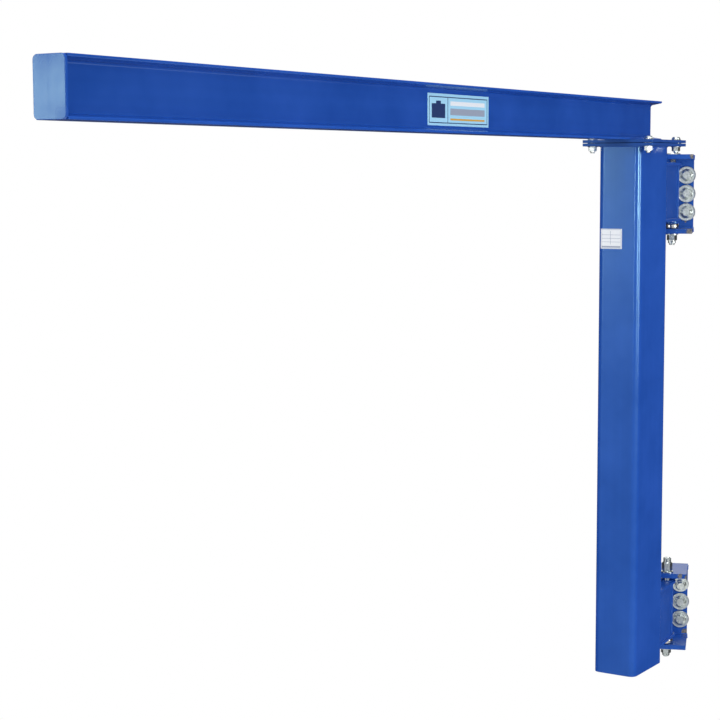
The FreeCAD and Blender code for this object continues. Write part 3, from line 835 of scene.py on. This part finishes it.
# %% [markdown]
# ## Thrust rings
# The knuckles ride on two turned steel rings. They are left bare, because paint would rub off,
# and their rounded edges draw the light into one bright bar.

# %% Turn the thrust rings
ring_shape = bored_shape("ring_shape", [
    circle(0.24, 0.0), circle(0.44, 0.0), circle(0.475, 0.06), circle(0.495, 0.2),
    circle(0.5, 0.5), circle(0.495, 0.8), circle(0.475, 0.94), circle(0.44, 1.0),
    circle(0.24, 1.0)])
for ring in ("upper_thrust_ring", "lower_thrust_ring"):
    ring_low, ring_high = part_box(ring)
    size = (ring_high - ring_low) / MM
    turned_ring = repeated("turned_" + ring, on_axis(ring_low.z / MM), ring_shape, size.x,
                           size.z, UP, finish=bare_steel)
    finish_piece(turned_ring, "wall_brackets", [ring])
    print(ring, [round(n, 1) for n in size], "mm")

# %% [markdown]
# ## Weld beads
# Every plate is joined by a small fillet weld, laid as a row of overlapping pools. A line is
# drawn along each joint, and Geometry Nodes sweep a round bead along it whose width swells
# once for every pool. The paint covers it, so it has the same enamel.

# %% Build the tree that lays a bead
BEADS, given = node_group("weld_bead", [
    ("Joints", "Geometry"), ("Width", "Float"), ("Pool", "Float"), ("Seed", "Float"),
    ("Finish", "Material")])
lines = add_node(BEADS, "GeometryNodeMeshToCurve", {}, {"Mesh": (given, "Joints")})
# Four points along each pool.
step = add_node(BEADS, "ShaderNodeMath", {"operation": "MULTIPLY"}, {0: (given, "Pool"), 1: 0.25})
close_points = add_node(BEADS, "GeometryNodeResampleCurve", {"mode": "LENGTH"}, {
    "Curve": (lines, 0), "Length": (step, 0)})
travelled = add_node(BEADS, "GeometryNodeSplineParameter")
pools = add_node(BEADS, "ShaderNodeMath", {"operation": "DIVIDE"}, {
    0: (travelled, "Length"), 1: (given, "Pool")})
angle = add_node(BEADS, "ShaderNodeMath", {"operation": "MULTIPLY"}, {
    0: (pools, 0), 1: 2 * math.pi})
swell = add_node(BEADS, "ShaderNodeMath", {"operation": "SINE"}, {0: (angle, 0)})
place = add_node(BEADS, "GeometryNodeInputPosition")
shaken = add_node(BEADS, "ShaderNodeTexNoise", {"noise_dimensions": "4D"}, {
    "Vector": (place, 0), "W": (given, "Seed"), "Scale": 160.0})
uneven = add_node(BEADS, "ShaderNodeMapRange", {}, {
    "Value": (shaken, "Fac"), "To Min": 0.75, "To Max": 1.2})
girth = add_node(BEADS, "ShaderNodeMath", {"operation": "MULTIPLY_ADD"}, {
    0: (swell, 0), 1: 0.10, 2: (uneven, "Result")})
bead_ring = add_node(BEADS, "GeometryNodeCurvePrimitiveCircle", {"mode": "RADIUS"}, {
    "Resolution": 8, "Radius": (given, "Width")})
swept = add_node(BEADS, "GeometryNodeCurveToMesh", {}, {
    "Curve": (close_points, 0), "Profile Curve": (bead_ring, 0), "Scale": (girth, 0),
    "Fill Caps": True})
close_group(BEADS, given, swept)
print("inputs", [item.name for item in BEADS.interface.items_tree])


# %% Draw the joints and lay the beads
def beads(name, paths, width):
    """Weld beads along lists of places."""
    points = [place for path in paths for place in path]
    lines, first = [], 0
    for path in paths:
        lines += [(first + n, first + n + 1) for n in range(len(path) - 1)]
        first += len(path)
    piece = grown(name, BEADS, points, lines, {
        "Width": width * MM, "Pool": 3.2 * MM, "Seed": 5.0, "Finish": blue_enamel})
    piece.data.shade_smooth()
    return piece


# Each bead goes up one end of an ear, along its inside and down the other end: these are its
# four corners, as out from the wall, across and away from the bracket's middle.
EAR_PATH = [(13.0, -54, 105.5), (13.2, -53.5, 93.6), (13.2, 53.5, 93.6), (13.0, 54, 105.5)]
ear_joints = [[Vector((out, across, level / MM + turn * away)) * MM
               for out, across, away in EAR_PATH]
              for level in BRACKET_LEVELS for turn in (-1, 1)]
ear_welds = beads("ear_welds", ear_joints, 2.4)
finish_piece(ear_welds, "wall_brackets")
print("ear joints", len(ear_joints), "faces", len(ear_welds.data.polygons))

# %% Lay the beads of the swinging half
MAST_BACK, MAST_FRONT, MAST_SIDE, CORNER = 164.0, 346.0, 58.5, 17.5


def mast_outline(level, outwards):
    """The mast's rounded outline, pushed outwards a little, as places."""
    ring = []
    for centre, start in (((MAST_FRONT - CORNER, MAST_SIDE - CORNER), 0),
                          ((MAST_BACK + CORNER, MAST_SIDE - CORNER), 90),
                          ((MAST_BACK + CORNER, CORNER - MAST_SIDE), 180),
                          ((MAST_FRONT - CORNER, CORNER - MAST_SIDE), 270)):
        for step in range(5):
            angle = math.radians(start + step * 22.5)
            ring.append(jib_point(centre[0] + (CORNER + outwards) * math.cos(angle),
                                  centre[1] + (CORNER + outwards) * math.sin(angle), level))
    return ring + ring[:1]


# The two ends of each bead of a knuckle, as along, across and level in millimetres. Those of
# its side plates come on both sides: at the mast, at the sleeve, and above and below.
SIDE_BEADS = [((163.6, 38.9, -64), (163.6, 38.9, 76)), ((6.5, 17.3, -64), (6.5, 17.3, 76)),
              ((163, 38.6, 76.8), (8, 17.0, 76.8)), ((163, 38.6, -65.4), (8, 17.0, -65.4))]
LEVEL_BEADS = [((163.8, -38, 84), (163.8, 38, 84)), ((163.8, -38, -72.6), (163.8, 38, -72.6))]
BEAM_FOOT = [(356, 34), (157.3, 34), (157.3, -34), (356, -34)]
knuckle_joints = []
for middle in (0.0, BRACKET_SPACING):
    for side in (-1, 1):
        knuckle_joints += [[jib_point(along, side * across, middle + level)
                            for along, across, level in bead] for bead in SIDE_BEADS]
    knuckle_joints += [[jib_point(along, across, middle + level)
                        for along, across, level in bead] for bead in LEVEL_BEADS]
plate_joints = [mast_outline(PLATE_FOOT, 0.4),
                [jib_point(along, across, PLATE_TOP) for along, across in BEAM_FOOT]]
jib_welds = joined("jib_welds", [beads("knuckle_beads", knuckle_joints, 1.9),
                                 beads("plate_beads", plate_joints, 2.3)])
finish_piece(jib_welds, "jib")

# %% [markdown]
# ## Labels
# The boom carries a rating plate on its near web and the mast a small record card. Both are
# printed vinyl about three tenths of a millimetre thick. Their print is generic here: ruled
# fields and plain blocks, with nothing to read.

# %% Make the vinyls and inks
def printed_vinyl(name, code):
    """Printed film: an even colour under a soft-gloss laminate with a fine grain."""
    material, tree = new_material(name)
    spot = add_node(tree, "ShaderNodeTexCoord")
    grain = add_node(tree, "ShaderNodeTexNoise", {}, {
        "Vector": (spot, "Object"), "Scale": 300.0, "Detail": 3.0})
    faded = add_node(tree, "ShaderNodeHueSaturation", {}, {"Color": hex_to_linear(code)})
    wash = add_node(tree, "ShaderNodeMapRange", {}, {
        "Value": (grain, "Fac"), "To Min": 0.93, "To Max": 1.05})
    tree.links.new(wash.outputs["Result"], faded.inputs["Value"])
    ripple = add_node(tree, "ShaderNodeBump", {}, {
        "Height": (grain, "Fac"), "Strength": 0.05, "Distance": 0.0003})
    film = add_node(tree, "ShaderNodeBsdfPrincipled", {}, {
        "Base Color": (faded, "Color"), "Roughness": 0.35, "Normal": (ripple, "Normal")})
    add_node(tree, "ShaderNodeOutputMaterial", {}, {"Surface": (film, 0)})
    return material


pale_blue_film = printed_vinyl("pale_blue_film", "A6DAF2")
white_film = printed_vinyl("white_film", "ECEEF1")
navy_ink = printed_vinyl("navy_ink", "233A6B")
grey_ink = printed_vinyl("grey_ink", "9AA3B5")
amber_ink = printed_vinyl("amber_ink", "D9A441")
print("films", pale_blue_film.name, white_film.name)


# %% Lay a film or an ink block on a surface
def slab(name, surface, left, right, low, high, lift, thickness, material):
    """A thin block over part of a surface(across, level, lift), in columns 3 mm wide."""
    columns = max(2, int(abs(right - left) / 3) + 1)
    shape = bmesh.new()
    grid = []
    for n in range(columns + 1):
        across = left + (right - left) * n / columns
        grid.append([shape.verts.new(surface(across, level, height))
                     for level, height in ((low, lift), (high, lift),
                                           (high, lift + thickness), (low, lift + thickness))])
    for one, two in zip(grid, grid[1:]):
        for k in range(4):
            shape.faces.new((one[k], one[(k + 1) % 4], two[(k + 1) % 4], two[k]))
    shape.faces.new(grid[0])
    shape.faces.new(grid[-1])
    bmesh.ops.recalc_face_normals(shape, faces=shape.faces)
    mesh = bpy.data.meshes.new(name)
    shape.to_mesh(mesh)
    shape.free()
    mesh.materials.append(material)
    piece = bpy.data.objects.new(name, mesh)
    scene.collection.objects.link(piece)
    return piece


HALF_WEB = 2.45


def on_web(along, level, lift):
    """The near side of the boom's web."""
    return jib_point(along, HALF_WEB + lift, level)


def on_mast(across, level, lift):
    """The mast's front face, going on round its left corner."""
    turned_by = max(0.0, (CORNER - MAST_SIDE - across) / CORNER)
    reach = CORNER + lift
    return jib_point(MAST_FRONT - CORNER + reach * math.cos(turned_by),
                     max(across, CORNER - MAST_SIDE) - reach * math.sin(turned_by), level)


print("web and mast surfaces")

# %% Print the rating plate
FILM, INK = 0.3, 0.1  # thickness in millimetres; edges below are left, right, foot and top
RATING = (1040, 1303, 1306, 1373)
blocks = [slab("film", on_web, *RATING, 0.0, FILM, pale_blue_film)]
for left, right, low, high, ink in (
        (1046, 1297, 1365, 1367, navy_ink), (1046, 1297, 1311, 1313, navy_ink),
        (1295, 1297, 1311, 1367, navy_ink), (1046, 1048, 1311, 1367, navy_ink),
        (1218, 1220, 1313, 1365, navy_ink), (1058, 1208, 1318, 1322, amber_ink),
        (1230, 1286, 1322, 1352, navy_ink), (1248, 1268, 1352, 1358, navy_ink),
        (1058, 1208, 1349, 1358, white_film), (1058, 1208, 1329, 1343, grey_ink)):
    blocks.append(slab("ink", on_web, left, right, low, high, FILM, INK, ink))
rating_plate = joined("rating_plate", blocks)
finish_piece(rating_plate, "jib")
print("blocks", len(blocks))

# %% Print the record card
CARD = (-50, 10, 1012.8, 1063.8)
blocks = [slab("film", on_mast, *CARD, 0.0, FILM, white_film)]
for left, right, low, high in ((-48, 8, 1061.6, 1062.4), (-48, 8, 1014.0, 1014.8),
                               (7.2, 8, 1014.0, 1062.4), (-46, 6, 1016.0, 1020.0),
                               (-46, 6, 1030.0, 1030.9), (-46, 6, 1039.0, 1039.9),
                               (-46, 6, 1048.0, 1048.9), (-22, -21, 1024.0, 1058.0)):
    blocks.append(slab("ink", on_mast, left, right, low, high, FILM, INK, grey_ink))
record_card = joined("record_card", blocks)
finish_piece(record_card, "jib")
print("blocks", len(blocks))

# %% [markdown]
# ## Flags
# A photographer puts black flags beside a narrow lamp, so that it draws its line where it is
# wanted and burns out nothing else. Light linking does that here: the two strips light only
# the mast and the bolts, and the level faces of beam and plates stay blue from every side.

# %% Flag the two strips
in_the_line = bpy.data.collections.new("lit_by_the_strips")
for piece in (mast, wall_bolts, plate_bolts):
    in_the_line.objects.link(piece)
for strip in strips:
    strip.light_linking.receiver_collection = in_the_line

# %% Measure and finish
low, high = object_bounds()
print("visual size", [round(n, 3) for n in high - low])
